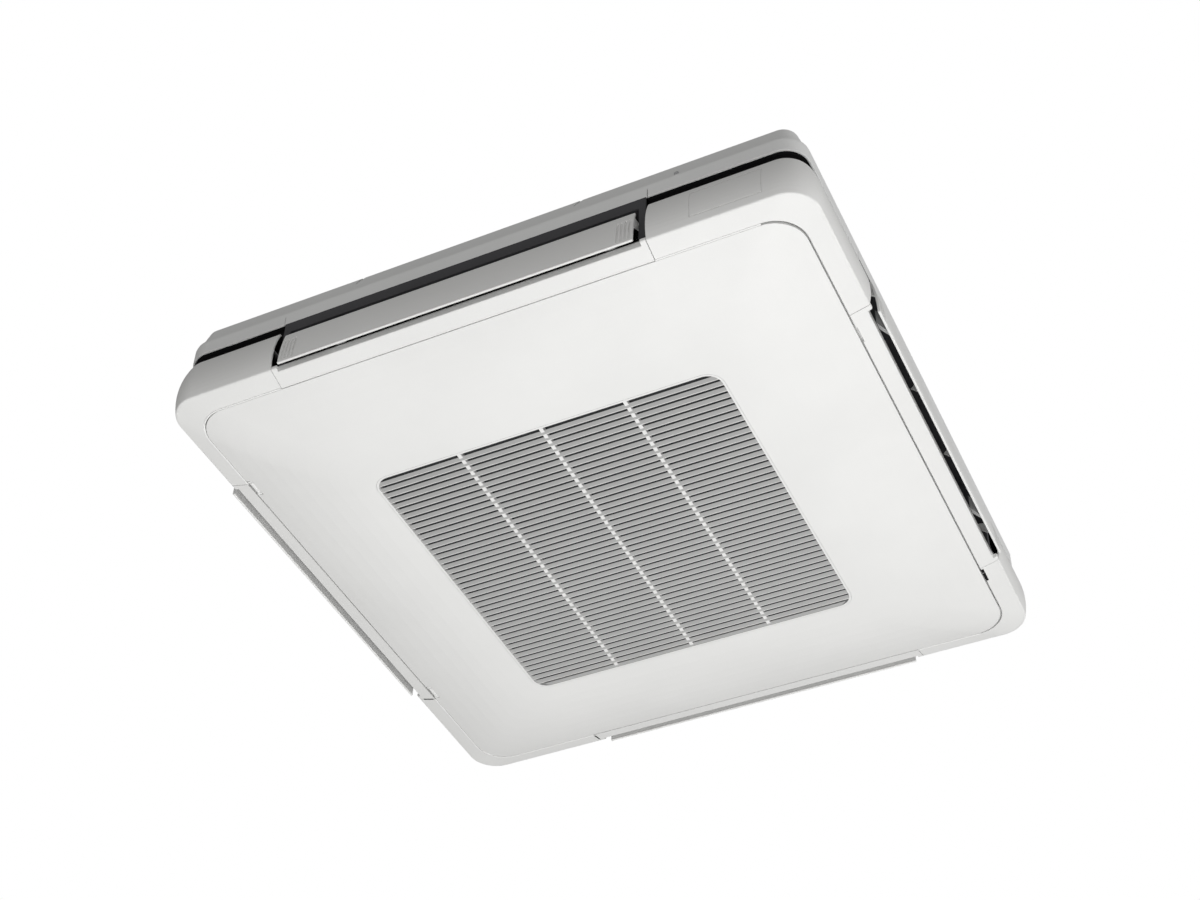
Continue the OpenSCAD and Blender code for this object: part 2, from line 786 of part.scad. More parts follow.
// Drain pan with its trough, pump and outlet
module drain_pan() {
    color([0.9, 0.9, 0.88]) difference() {
        union() {
            round_plate(2 * pan_d, coil_r + 22, pan_z, pan_top_z);
            round_ring(2 * pan_d, coil_r + 22, 2 * (pan_d - 10), coil_r + 12, pan_top_z, pan_top_z + 14);
        }
        round_ring(2 * (coil_d + 6), coil_r + 6, 2 * (coil_d - coil_t - 6), coil_r - coil_t,
            pan_top_z - trough_h, pan_top_z + 1);
        translate([0, 0, pan_z - 1]) cylinder(h = pan_h + 20, r = pan_hole_r, $fn = 96);
        translate([pump_x, -pump_x, pan_top_z - trough_h]) cylinder(h = pan_h, r = 12);
    }
}

module drain_pump() {
    foot_z = pan_top_z - trough_h + 3;
    color([0.3, 0.32, 0.36]) translate([pump_x, -pump_x, 0]) {
        translate([0, 0, foam_z - 34]) cylinder(h = 34, r = pump_r);
        translate([0, 0, foam_z - 56]) cylinder(h = 22, r = 12);
        translate([0, 0, foot_z]) cylinder(h = foam_z - 56 - foot_z, r = 7);
    }
}

module drain_hose() {
    level = foam_z - 46;
    start = [pump_x, -pump_x, level];
    turn = [drain_x, -pump_x, level];
    color([0.55, 0.56, 0.58]) {
        difference() {
            tube(start, turn, hose_r);
            translate([pump_x, -pump_x, level - 20]) cylinder(h = 40, r = 12 + seat_gap);
        }
        translate(turn) sphere(hose_r + elbow_grow);
        tube(turn, [drain_x, drain_y, level], hose_r);
        translate([drain_x, drain_y, level]) sphere(hose_r + elbow_grow);
        translate([drain_x, drain_y, level]) cylinder(h = 20, r = hose_r);
    }
}

module drain_socket() {
    low = foam_z - 26;
    color([0.8, 0.8, 0.8]) translate([drain_x, drain_y, 0]) difference() {
        translate([0, 0, low]) cylinder(h = sheet_z - low, r = drain_bore_r + 3);
        translate([0, 0, low + 4]) cylinder(h = 60, r = drain_bore_r);
    }
}

module cable_grommet() {
    color(dark) translate([grommet_x, grommet_y, 0]) difference() {
        union() {
            translate([0, 0, foam_z - 2]) cylinder(h = top_z - foam_z + 2, r = cable_bore_r + 2);
            translate([0, 0, foam_z - 3]) cylinder(h = 3, r = cable_bore_r + 5);
        }
        translate([0, 0, foam_z - 5]) cylinder(h = 60, r = cable_bore_r);
    }
}

// Control box and what it holds
module box_frame() {
    translate([0, box_y, pan_z - box_d / 2]) children();
}

module control_box() {
    color(steel) box_frame() difference() {
        cube([box_l, box_w, box_d], center = true);
        translate([0, 0, -box_t]) cube([box_l - 2 * box_t, box_w - 2 * box_t, box_d], center = true);
    }
}

module control_box_lid() {
    color(steel) translate([0, box_y, pan_z - box_d - box_t / 2])
        cube([box_l + 4, box_w + 4, box_t], center = true);
}

module circuit_board() {
    board_z = pan_z - 8;
    color([0.1, 0.35, 0.2]) {
        translate([board_x, box_y, board_z]) cube([board_l, box_w - 14, 1.6], center = true);
        for (x = board_post_x) translate([x, box_y, (board_z + pan_z - box_t) / 2])
            cube([8, box_w - 30, pan_z - box_t - board_z], center = true);
        translate([board_x - 60, box_y + 12, board_z - 8]) cube([34, 26, 15], center = true);
        for (i = [0:2]) translate([board_x - 10 + 26 * i, box_y - 14, board_z - 13]) cylinder(h = 13, r = 9);
        translate([board_x + 80, box_y + 10, board_z - 6]) cube([30, 30, 11], center = true);
    }
}

module terminal_block() {
    color([0.2, 0.2, 0.22]) translate([terminal_x, box_y, pan_z - box_t - 9]) difference() {
        cube([terminal_l, 30, 18], center = true);
        for (i = [-2.5:1:2.5]) translate([i * 13, 0, -6]) cube([10, 34, 8], center = true);
    }
}

// Outlet liner: fascia, roof, floor, end walls and flanges
module liner_section_roof() {
    inner = fascia_d - liner_t;
    polygon([
        [fascia_d, lip_z - seat_gap], [fascia_d, fascia_low_z], [fascia_d - 36, fascia_low_z + 6],
        [pan_d + 4, foam_z - 20], [pan_d + 4, foam_z], [pan_d + 4 + liner_t, foam_z],
        [pan_d + 4 + liner_t, foam_z - 19], [fascia_d - 35, fascia_low_z + 8.6],
        [inner, fascia_low_z + liner_t + 0.3], [inner, lip_z - seat_gap]
    ]);
}

module liner_section_floor() {
    outer = nose_d - seat_gap;
    polygon([
        [outer, lip_top_z - cover_t], [outer, lip_top_z], [pan_d + seat_gap, lip_top_z + 10],
        [pan_d + seat_gap, lip_top_z + 10 - cover_t]
    ]);
}

module liner_end_outline() {
    polygon([
        [fascia_d, lip_z - seat_gap], [fascia_d, lip_top_z + seat_gap],
        [nose_d - seat_gap, lip_top_z + seat_gap], [nose_d - seat_gap, lip_top_z - cover_t],
        [pan_d + seat_gap, lip_top_z + 10 - cover_t], [pan_d + seat_gap, foam_z - 24],
        [pan_d + 4, foam_z], [pan_d + 4 + liner_t, foam_z], [pan_d + 4 + liner_t, foam_z - 19],
        [fascia_d - 35, fascia_low_z + 8.6], [fascia_d - liner_t, lip_z - seat_gap]
    ]);
}

module outlet_liner(k) {
    end_x = mouth_x + liner_t;
    color(dark) on_side(k) outlet_centre() difference() {
        union() {
            along_side(-end_x, end_x) liner_section_roof();
            along_side(-end_x, end_x) liner_section_floor();
            for (s = [-1, 1]) {
                side_plate(s * (mouth_x + liner_t / 2), liner_t) liner_end_outline();
                translate([s * (mouth_x + flange_w / 2), -fascia_d + liner_t / 2, (lip_z + lip_top_z) / 2])
                    cube([flange_w, liner_t, lip_z - lip_top_z - 2 * seat_gap], center = true);
                side_plate(s * gusset_x, 2.4) polygon([
                    [pivot_d - 33, lip_top_z + 4], [nose_d - seat_gap, lip_top_z - 1],
                    [nose_d - seat_gap, lip_top_z + seat_gap], [nose_d + 4, lip_top_z + 9],
                    [pivot_d - 6, lip_top_z + 18], [pivot_d - 18, pivot_z + 6], [pivot_d - 30, pivot_z + 8]
                ]);
            }
            for (s = [-1, 1]) translate([end_x - 0.1, -(pivot_d - swing_offset), pivot_z + s * 14])
                rotate([0, 90, 0]) cylinder(h = motor_x + 3 - end_x, r = 3);
        }
        for (s = [-1, 1]) translate([s * mouth_x - 5, -pivot_d, pivot_z])
            rotate([0, 90, 0]) cylinder(h = 10, r = bush_r);
    }
}

module flap_bushes() {
    color([0.85, 0.85, 0.83]) for (k = [0:3]) on_side(k) outlet_centre() for (s = [-1, 1])
        translate([s * (mouth_x + bush_l / 2 - 0.5), -pivot_d, pivot_z]) rotate([0, 90, 0]) difference() {
            cylinder(h = bush_l, r = bush_r, center = true);
            cylinder(h = bush_l + 2, r = flap_pin_r + pin_clear, center = true);
        }
}

// Stepping motors at one end of each flap: boss, ear plate and can
module swing_motors() {
    boss_l = 6;
    ear_t = 2;
    can_l = 16;
    ear_x = motor_x + 3;
    color([0.75, 0.76, 0.77]) for (k = [0:3]) on_side(k) outlet_centre() translate([0, -pivot_d, pivot_z])
        difference() {
            union() {
                translate([motor_x, 0, 0]) rotate([0, 90, 0]) cylinder(h = boss_l + 1, r = flap_pin_r + 1.7);
                translate([ear_x, swing_offset - 4, -17]) cube([ear_t, 8, 34]);
                translate([ear_x, swing_offset, 0]) rotate([0, 90, 0])
                    cylinder(h = can_l + ear_t, r = swing_can_r);
            }
            translate([motor_x - 1, 0, 0]) rotate([0, 90, 0])
                cylinder(h = boss_l, r = flap_pin_r + pin_clear);
        }
}

// Lower lip of an outlet
module lip_section() {
    low_d = nose_front_d - cover_t;
    outer = concat([[rim_in_d, rim_in_z]],
        arc(nose_foot_d, nose_foot_z, nose_edge_r, rim_tilt - 90, 0, 4),
        arc(nose_d, lip_top_z - nose_r, nose_r, 0, 90, 8));
    inner = concat(arc(nose_d, lip_top_z - nose_r, nose_r - cover_t, 90, 0, 6),
        [[low_d, rim_z - (half_w - low_d) * rim_fall + cover_t + 0.8],
        [rim_in_d + cover_t, rim_in_z + cover_t + 0.8], [rim_in_d + cover_t, ledge_z - seat_gap],
        [rim_in_d, ledge_z - seat_gap]]);
    polygon(concat(outer, inner));
}

// Shallow recess in the seam beside the catch at a place along the side
module seam_notch(x) {
    translate([x, -rim_in_d, rim_in_z]) cube([catch_w, 3.2, 30], center = true);
}

module outlet_lip(k) {
    end_x = outlet_len / 2 - joint_gap / 2;
    block_w = 8;
    color(white) on_side(k) outlet_centre() difference() {
        union() {
            along_side(-end_x, end_x) lip_section();
            for (s = [-1, 1])
                side_plate(s * (end_x - block_w / 2), block_w)
                    polygon(concat(
                        [[nose_d, rim_z - (half_w - nose_d) * rim_fall]],
                        arc(edge_cd, edge_cz, edge_r, rim_tilt - 90, 0, 4),
                        [[half_w, rim_z + 5], [half_w - 2, rim_z + 5.6], [nose_d, rim_z + 5.6]]));
        }
        if (k == 1) seam_notch(catch_at[1] + outlet_shift);
    }
}

// Corner covers: the wall is swept, the sloping rim is lofted between two rounded squares
module cover_wall_section() {
    foot_d = edge_cd - 0.4;
    foot_z = rim_z - (half_w - foot_d) * rim_fall;
    outer = concat(
        arc(edge_cd, edge_cz, edge_r, rim_tilt - 90, -wall_lean, 4),
        arc(wall_cd, wall_cz, wall_r, 1 - wall_lean, crest_a, 10),
        arc(crest_cd, crest_cz, crest_r, crest_a + 8, crest_end, 4));
    inner = concat(
        arc(crest_cd, crest_cz, crest_r - cover_t, crest_end, crest_a + 8, 3),
        arc(wall_cd, wall_cz, wall_r - cover_t, crest_a, 2 - wall_lean, 8),
        [[foot_d, foot_z + 3], [foot_d, foot_z]]);
    polygon(concat(outer, inner));
}

// Plate of the rim's loft: 0 is the outer edge, 1 the seam round the panel
module rim_plate(t, lift, h) {
    outer_d = half_w - edge_r + edge_r * sin(rim_tilt);
    outer_z = rim_z - (half_w - outer_d) * rim_fall;
    outer_r = outer_d - corner_c;
    z = outer_z + (rim_in_z - outer_z) * t + lift;
    d = outer_d + (rim_in_d - outer_d) * t;
    round_plate(2 * d, outer_r + (seam_r - outer_r) * t, z, z + h, $fn = 64);
}

module rim_shell() {
    rise = cover_t / cos(rim_tilt);
    step = 0.1;
    difference() {
        hull() {
            rim_plate(0.02, step, 10);
            rim_plate(1.12, step, 0.3);
        }
        hull() {
            rim_plate(-0.06, rise, 14);
            rim_plate(1.2, rise, 0.3);
        }
    }
}

// Everything beyond 'end' on both sides of a corner, between two levels
module corner_zone(end, z0, z1) {
    side = 40;
    translate([rim_in_d - side, end, z0]) cube([2 * side, half_w + side - end, z1 - z0]);
    translate([end, rim_in_d - side, z0]) cube([half_w + side - end, 2 * side, z1 - z0]);
}

// Cuts the upper corner at one end of a cover
module end_rounding(stop) {
    translate([wall_cd + wall_r - 10, stop, cover_top_z]) difference() {
        translate([-15, -1, -end_r]) cube([30, end_r + 1, end_r + 1]);
        translate([0, end_r, -end_r]) rotate([0, 90, 0]) cylinder(h = 40, r = end_r, center = true);
    }
}

// Shallow groove round the knock-out, it follows the bulging wall
module wall_strip(a0, a1, n) {
    depth = 0.6;
    polygon(concat(
        arc(wall_cd, wall_cz, wall_r + 1, a0, a1, n),
        arc(wall_cd, wall_cz, wall_r - depth, a1, a0, n)));
}

module knockout_groove(x) {
    low_a = asin((rim_z + 13 - wall_cz) / wall_r);
    high_a = asin((rim_z + 13 + knockout_h - wall_cz) / wall_r);
    width = 1.2;
    width_a = 0.4;
    for (a = [low_a, high_a]) translate([x + knockout_w / 2, 0, 0]) rotate([90, 0, 90])
        linear_extrude(knockout_w + width, center = true) wall_strip(a - width_a, a + width_a, 1);
    for (side = [x, x + knockout_w]) translate([side, 0, 0]) rotate([90, 0, 90])
        linear_extrude(width, center = true) wall_strip(low_a, high_a, 8);
}

module corner_cover(turn, end, knockout = false, notched = false) {
    stop = end + joint_gap / 2;
    leg_z = rim_in_z + 1;
    color(white) rotate([0, 0, turn]) difference() {
        union() {
            corner_sweep(stop) cover_wall_section();
            intersection() {
                rim_shell();
                corner_zone(stop, rim_in_z - 20, rim_z + 6);
            }
            intersection() {
                round_ring(2 * (rim_in_d + cover_t), seam_r + cover_t, 2 * rim_in_d - 4, seam_r - 2,
                    leg_z, ledge_z - seat_gap);
                corner_zone(stop, leg_z - 5, ledge_z);
            }
        }
        round_plate(2 * rim_in_d, seam_r, rim_in_z - 20, rim_z + 1);
        for (m = [0, 1]) mirror([m, -m, 0]) end_rounding(stop);
        if (notched)
            translate([rim_in_d, -catch_at[0], rim_in_z]) cube([6.4, catch_w, 30], center = true);
        if (knockout) knockout_groove(end + 61);
    }
}

// Dark channels that close the recess over the corner covers
module channel_section() {
    web_out_d = channel_d + channel_t;
    polygon([
        [channel_d, lip_z], [curl_d - 1.6, lip_z],
        [curl_d - 1.6, lip_z + channel_t], [channel_d, lip_z + channel_t]
    ]);
    polygon([
        [channel_d, channel_low], [web_out_d, channel_low], [web_out_d, lip_z + 1], [channel_d, lip_z + 1]
    ]);
    polygon([
        [channel_d, channel_low], [channel_out_d, channel_low],
        [channel_out_d, channel_low + channel_t], [channel_d, channel_low + channel_t]
    ]);
}

module recess_channels() {
    color([0.05, 0.05, 0.05]) for (k = [0:3]) rotate([0, 0, 90 * k])
        corner_sweep(flange_x + seat_gap + (k % 2 == 0 ? outlet_shift : -outlet_shift)) channel_section();
}

// White frame that carries the pan, the lips, the covers and the intake panel
module panel_frame() {
    color(white) difference() {
        union() {
            round_ring(2 * web_d + 2 * frame_t, 30, 2 * frame_in_d, coil_r, pan_z - frame_t, pan_z);
            round_ring(2 * web_d + 2 * frame_t, 30, 2 * web_d, 30 - frame_t, ledge_z, pan_z);
            round_ring(2 * ledge_d, ledge_r, 2 * web_d, 30 - frame_t, ledge_z, ledge_z + frame_t);
        }
        on_side(1) for (x = catch_at)
            translate([x, -(web_d + 14.5), ledge_z]) cube([catch_w, 11, 10], center = true);
        on_side(3) for (x = hinge_at)
            translate([x, -hinge_d, ledge_z]) cube([knuckle_l + 2, 14, 12], center = true);
        for (k = [0:3]) rotate([0, 0, 90 * k])
            translate([ledge_d - 22, ledge_d - 22, ledge_z - 1]) cylinder(h = 10, r = 2.2);
    }
}

// Screws that hold each corner cover's boss under the frame
module cover_screws() {
    color(steel) for (k = [0:3]) rotate([0, 0, 90 * k]) translate([ledge_d - 22, ledge_d - 22, 0]) {
        translate([0, 0, ledge_z + frame_t]) cylinder(h = 3, r = 4);
        translate([0, 0, ledge_z - 2]) cylinder(h = frame_t + 2.5, r = 2);
    }
}

// Hinge lugs under the frame and the pins that cross them
module panel_hinge_pins() {
    lug_d = 7;
    lug_low = hinge_z - 2.8;
    color(white) on_side(3) for (x = hinge_at) translate([x, 0, 0]) {
        for (s = [-1, 1]) side_plate(s * (knuckle_l / 2 + 0.5 + lug_t / 2), lug_t) polygon([
            [hinge_d - lug_d / 2, lug_low], [hinge_d + lug_d / 2, lug_low],
            [hinge_d + lug_d / 2, ledge_z], [hinge_d - lug_d / 2, ledge_z]
        ]);
        translate([0, -hinge_d, hinge_z]) rotate([0, 90, 0])
            cylinder(h = knuckle_l + 2 * lug_t, r = hinge_pin_r, center = true);
    }
}

// Flap section: a shallow arc with a bead along the lower edge
function flap_point(t, inset) = [
    flap_low_d + (flap_top_d - flap_low_d) * t + (4 * flap_bulge * t * (1 - t) - inset) * cos(flap_tilt),
    flap_low_z + (flap_top_z - flap_low_z) * t - (4 * flap_bulge * t * (1 - t) - inset) * sin(flap_tilt) * -1
];

module flap_section() {
    n = 10;
    polygon(concat([for (i = [0:n]) flap_point(i / n, 0)], [for (i = [n:-1:0]) flap_point(i / n, flap_t)]));
    translate(flap_point(0.02, flap_t / 2)) circle(flap_t * 0.6, $fn = 20);
    translate(flap_point(0.99, flap_t / 2)) circle(flap_t / 2, $fn = 20);
}

module flap_arm_section() {
    polygon([
        [pivot_d, pivot_z + 6], flap_point(0.93, flap_t / 2), flap_point(0.55, flap_t / 2),
        [pivot_d, pivot_z - 6]
    ]);
    translate([pivot_d, pivot_z]) circle(6);
}

module flap(k) {
    groove_pitch = 5.7;
    groove_l = 42;
    groove_w = 3.1;
    groove_t = 2.2;
    groove_mid = flap_point(0.42, 0);
    color(white) on_side(k) outlet_centre() {
        difference() {
            along_side(-flap_x, flap_x) flap_section();
            for (s = [-1, 1], i = [0:groove_n - 1])
                translate([s * (flap_x - 5 - groove_pitch * i), -groove_mid[0], groove_mid[1]])
                    rotate([-flap_tilt, 0, 0]) cube([groove_w, 2 * groove_t, groove_l], center = true);
        }
        for (s = [-1, 1]) {
            side_plate(s * (arm_x - arm_t / 2), arm_t) flap_arm_section();
            side_plate(s * rib_x, 2) polygon([
                flap_point(0.88, flap_t / 2), flap_point(0.4, flap_t / 2), [pivot_d + 5, pivot_z - 14]
            ]);
        }
        translate([-arm_x - 8, -pivot_d, pivot_z]) rotate([0, 90, 0]) cylinder(h = 8.1, r = flap_pin_r);
        translate([arm_x - 0.1, -pivot_d, pivot_z]) rotate([0, 90, 0])
            cylinder(h = motor_x + 4 - arm_x, r = flap_pin_r);
    }
}

// Height of the domed underside at a distance from the middle
function dome_z(d) = base_z + (panel_edge_z - base_z) * pow(max(0, d - flat_d) / (panel_d - flat_d), 2);

module dome_solid(lift, inset) {
    hull() for (i = [0:dome_steps]) {
        d = flat_d + (panel_d - flat_d) * i / dome_steps;
        r = grille_r + flat_ring + (seam_r - grille_r - flat_ring) * i / dome_steps;
        h = i == dome_steps ? 4 : 0.2;
        round_plate(2 * (d - inset), r, dome_z(d) + lift, dome_z(d) + lift + h, $fn = 64);
    }
}

// Domed panel with its grille window, collar, hinge knuckles and catch guides
module intake_panel() {
    collar_top = base_z + collar_h;
    color(white) {
        difference() {
            union() {
                difference() {
                    dome_solid(0, 0);
                    translate([0, 0, 0.5]) dome_solid(panel_t - 0.5, 2);
                }
                round_plate(grille_w + 2 * collar_t, grille_r + collar_t, base_z + 0.5, collar_top);
            }
            round_plate(grille_w, grille_r, base_z - 1, collar_top + 1);
            on_side(3) for (x = hinge_at)
                translate([x, -panel_d, hinge_z - 4]) cube([hinge_w, 20, 30], center = true);
        }
        on_side(3) for (x = hinge_at) translate([x, 0, 0]) difference() {
            union() {
                translate([0, -hinge_d, hinge_z]) rotate([0, 90, 0])
                    cylinder(h = knuckle_l, r = knuckle_r, center = true);
                along_side(-knuckle_l / 2, knuckle_l / 2) polygon([
                    [hinge_d, hinge_z - 2.5], [hinge_d - 8, dome_z(hinge_d - 8) + 1.5],
                    [hinge_d - 26, dome_z(hinge_d - 26) + 1.5], [hinge_d - 26, dome_z(hinge_d - 26) + 5],
                    [hinge_d, hinge_z + 2.5]
                ]);
            }
            translate([0, -hinge_d, hinge_z]) rotate([0, 90, 0])
                cylinder(h = knuckle_l + 2, r = hinge_pin_r + pin_clear, center = true);
        }
        on_side(1) for (x = catch_at) difference() {
            along_side(x - catch_w / 2 - 3, x + catch_w / 2 + 3) polygon([
                [catch_in, dome_z(catch_in) + 1.5], [catch_out, dome_z(catch_out) + 1.5],
                [catch_out, slide_z + 5], [catch_in, slide_z + 5]
            ]);
            translate([x, -(catch_in + catch_out) / 2, slide_z + 1.7 + (6.6 - 3.4) / 2])
                cube([catch_w - 2, catch_out - catch_in + 2, 6.6], center = true);
        }
    }
}

module intake_grille() {
    side = grille_w - 2 * seat_gap;
    inner = side - 2 * insert_rim;
    dy = slat_w * cos(slat_tilt);
    dz = slat_w * sin(slat_tilt);
    ty = slat_t * sin(slat_tilt);
    tz = slat_t * cos(slat_tilt);
    spine_z = base_z + (spine_rise + insert_h) / 2;
    color(white) {
        round_ring(side, grille_r - seat_gap, inner, grille_r - insert_rim, base_z, base_z + insert_h);
        intersection() {
            round_plate(side - 2, grille_r - 1, base_z, base_z + insert_h);
            union() {
                for (i = [0:slat_n - 1]) translate([0, first_gap - grille_d + slat_pitch * i, 0])
                    rotate([90, 0, 90]) linear_extrude(inner + 2, center = true)
                        polygon([
                            [0, base_z], [ty * 0.9, base_z], [ty, base_z + tz],
                            [-dy + ty, base_z + dz + tz], [-dy, base_z + dz]
                        ]);
                for (i = [0:spine_n - 1]) translate([(i - (spine_n - 1) / 2) * spine_pitch, 0, spine_z])
                    cube([spine_w, inner + 2, insert_h - spine_rise], center = true);
            }
        }
    }
}

// Filter frame with cross bars, and the mesh inside it
module filter_frame() {
    side = grille_w + 2 * collar_t - 1;
    z0 = base_z + collar_h;
    color([0.35, 0.36, 0.38]) {
        round_ring(side, grille_r + 2, side - 24, grille_r - 6, z0, z0 + 5);
        for (i = [-1:1]) {
            translate([i * side / 4, 0, z0 + 3.9]) cube([5, side - 20, 2.2], center = true);
            translate([0, i * side / 4, z0 + 3.9]) cube([side - 20, 5, 2.2], center = true);
        }
    }
}

module filter_mesh() {
    side = grille_w + 2 * collar_t - 1;
    z0 = base_z + collar_h;
    color([0.28, 0.3, 0.33]) round_plate(side - 24 - 2 * 0.1, grille_r - 6, z0 + 1.6, z0 + 2.6);
}

// Sliding catch: a bar in its guide, and a hook that rises through the frame
module panel_catch(x) {
    bar_t = 2.6;
    bar_l = 17;
    hook_t = 3;
    hook_d = web_d + 11.5;
    nose_l = 4;
    hook_top = ledge_z + frame_t + 3.5;
    color([0.8, 0.8, 0.78]) on_side(1) translate([x, 0, 0]) {
        translate([0, -(catch_in + 8 + bar_l / 2), slide_z + 0.3 + bar_t / 2])
            cube([catch_w - 3, bar_l, bar_t], center = true);
        translate([0, -hook_d, (slide_z + 0.3 + hook_top) / 2])
            cube([catch_w - 6, hook_t, hook_top - slide_z - 0.3], center = true);
        translate([0, -hook_d - nose_l / 2, hook_top - 1.5])
            cube([catch_w - 6, nose_l + hook_t, 3], center = true);
    }
}

casing_band();
top_plates();
service_plates();
top_insulation();
hanger_brackets();
corner_posts();
casing_screws();
motor_mount();
motor_grommets();
fan_motor();
fan_shaft();
fan_wheel();
wheel_shroud();
shaft_nut();
bell_mouth();
coil_fins();
coil_end_plates();
coil_bends();
gas_header();
refrigerant_pipes();
pipe_unions();
expansion_valve();
distributor();
drain_pan();
drain_pump();
drain_hose();
drain_socket();
cable_grommet();
control_box();
control_box_lid();
circuit_board();
terminal_block();
outlet_liner(0);  // liner_near
outlet_liner(1);  // liner_right
outlet_liner(2);  // liner_far
outlet_liner(3);  // liner_left
outlet_lip(0);  // lip_near
outlet_lip(1);  // lip_right
outlet_lip(2);  // lip_far
outlet_lip(3);  // lip_left
flap_bushes();
swing_motors();
recess_channels();
panel_frame();
corner_cover(180, cover_end_short);  // cover_near_left
mirror([0, 1, 0]) corner_cover(0, cover_end_long, true);  // cover_near_right
corner_cover(0, cover_end_short, false, true);  // cover_far_right
mirror([1, 0, 0]) corner_cover(0, cover_end_long);  // cover_far_left
cover_screws();
panel_hinge_pins();
flap(0);  // flap_near
flap(1);  // flap_right
flap(2);  // flap_far
flap(3);  // flap_left
intake_panel();
intake_grille();
filter_frame();
filter_mesh();
panel_catch(catch_at[0]);  // catch_far
panel_catch(catch_at[1]);  // catch_near
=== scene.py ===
import json
import math

import bpy
from mathutils import Matrix, Vector


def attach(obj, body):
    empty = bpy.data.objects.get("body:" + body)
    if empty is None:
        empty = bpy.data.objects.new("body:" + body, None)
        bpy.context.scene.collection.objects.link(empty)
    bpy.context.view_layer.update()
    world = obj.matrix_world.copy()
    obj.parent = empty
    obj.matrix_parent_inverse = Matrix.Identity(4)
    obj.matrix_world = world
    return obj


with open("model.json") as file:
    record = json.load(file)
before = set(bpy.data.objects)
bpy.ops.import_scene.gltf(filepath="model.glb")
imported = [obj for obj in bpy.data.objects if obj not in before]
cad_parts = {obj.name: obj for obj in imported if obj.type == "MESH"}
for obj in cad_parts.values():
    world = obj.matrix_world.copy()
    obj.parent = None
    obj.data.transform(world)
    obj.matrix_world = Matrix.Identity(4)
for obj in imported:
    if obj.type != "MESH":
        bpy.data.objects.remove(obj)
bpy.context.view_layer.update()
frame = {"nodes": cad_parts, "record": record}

# Bands of a wave texture are 1 / scale apart after this factor
wave_turn = math.pi / 10
# Scales of the noises and cells in the finishes, per metre
drift_scale, gloss_scale = 5.0, 22.0
cloud_scale, rolled_scale = 30.0, 600.0
stain_scale, track_scale = 260.0, 180.0
# Most values of a noise lie between these
noise_low, noise_high = 0.3, 0.7
# Rounding of metal edges in metres, and the rays that each rounding takes
metal_edge = 0.0005
edge_rays = 4
# Sockets for colours in a mix node
mix_a, mix_b, mix_result = 6, 7, 2


class Mat:
    """A node material with short calls for its nodes and links."""

    def __init__(self, name):
        self.name = name
        self.mat = bpy.data.materials.new(name)
        self.mat.use_nodes = True
        self.tree = self.mat.node_tree
        self.tree.nodes.clear()
        self.out = self.tree.nodes.new("ShaderNodeOutputMaterial")
        self.bsdf = self.tree.nodes.new("ShaderNodeBsdfPrincipled")
        self.link(self.bsdf, "BSDF", self.out, "Surface")
        self.coord = self.tree.nodes.new("ShaderNodeTexCoord")

    def add(self, kind, values=None, **attrs):
        node = self.tree.nodes.new(kind)
        for key, value in attrs.items():
            setattr(node, key, value)
        for key, value in (values or {}).items():
            node.inputs[key].default_value = value
        return node

    def link(self, a, a_socket, b, b_socket):
        self.tree.links.new(a.outputs[a_socket], b.inputs[b_socket])

    def set(self, **values):
        for key, value in values.items():
            self.bsdf.inputs[key.replace("_", " ")].default_value = value

    def noise(self, scale, detail, roughness, stretch=None):
        values = {"Scale": scale, "Detail": detail, "Roughness": roughness}
        node = self.add("ShaderNodeTexNoise", values)
        if stretch:
            mapping = self.add("ShaderNodeMapping", {"Scale": stretch})
            self.link(self.coord, "Object", mapping, "Vector")
            self.link(mapping, "Vector", node, "Vector")
        else:
            self.link(self.coord, "Object", node, "Vector")
        return node

    def ramp(self, node, socket, stops):
        ramp = self.add("ShaderNodeValToRGB")
        elements = ramp.color_ramp.elements
        while len(elements) < len(stops):
            elements.new(0.5)
        for element, (place, color) in zip(elements, stops):
            element.position = place
            element.color = (*color, 1.0)
        self.link(node, socket, ramp, "Fac")
        return ramp

    def to_range(self, node, socket, low, high, from_low=noise_low, from_high=noise_high):
        limits = {"From Min": from_low, "From Max": from_high, "To Min": low, "To Max": high}
        ranged = self.add("ShaderNodeMapRange", limits)
        self.link(node, socket, ranged, "Value")
        return ranged

    def bump(self, node, socket, strength, distance, normal=None):
        bump = self.add("ShaderNodeBump", {"Strength": strength, "Distance": distance})
        self.link(node, socket, bump, "Height")
        if normal is not None:
            self.link(normal, "Normal", bump, "Normal")
        return bump


def shade(color, factor):
    return tuple(min(1.0, c * factor) for c in color)


def moulded(name, color, rough, grain=1500.0, grain_depth=0.00004, edge=0.0006, vary=0.03,
            specular=0.4):
    """Moulded plastic or powder coat: fine grain, slow colour drift, uneven gloss, soft edges."""
    m = Mat(name)
    drift = m.noise(drift_scale, 3.0, 0.6)
    stops = [(noise_low, shade(color, 1.0 - vary)), (noise_high, shade(color, 1.0 + vary * 0.4))]
    m.link(m.ramp(drift, "Fac", stops), "Color", m.bsdf, "Base Color")
    gloss = m.noise(gloss_scale, 5.0, 0.6)
    m.link(m.to_range(gloss, "Fac", rough - 0.05, rough + 0.06), "Result", m.bsdf, "Roughness")
    bevel = m.add("ShaderNodeBevel", {"Radius": edge}, samples=edge_rays)
    fine = m.noise(grain, 3.0, 0.55)
    m.link(m.bump(fine, "Fac", 0.35, grain_depth, bevel), "Normal", m.bsdf, "Normal")
    m.set(Specular_IOR_Level=specular)
    return m


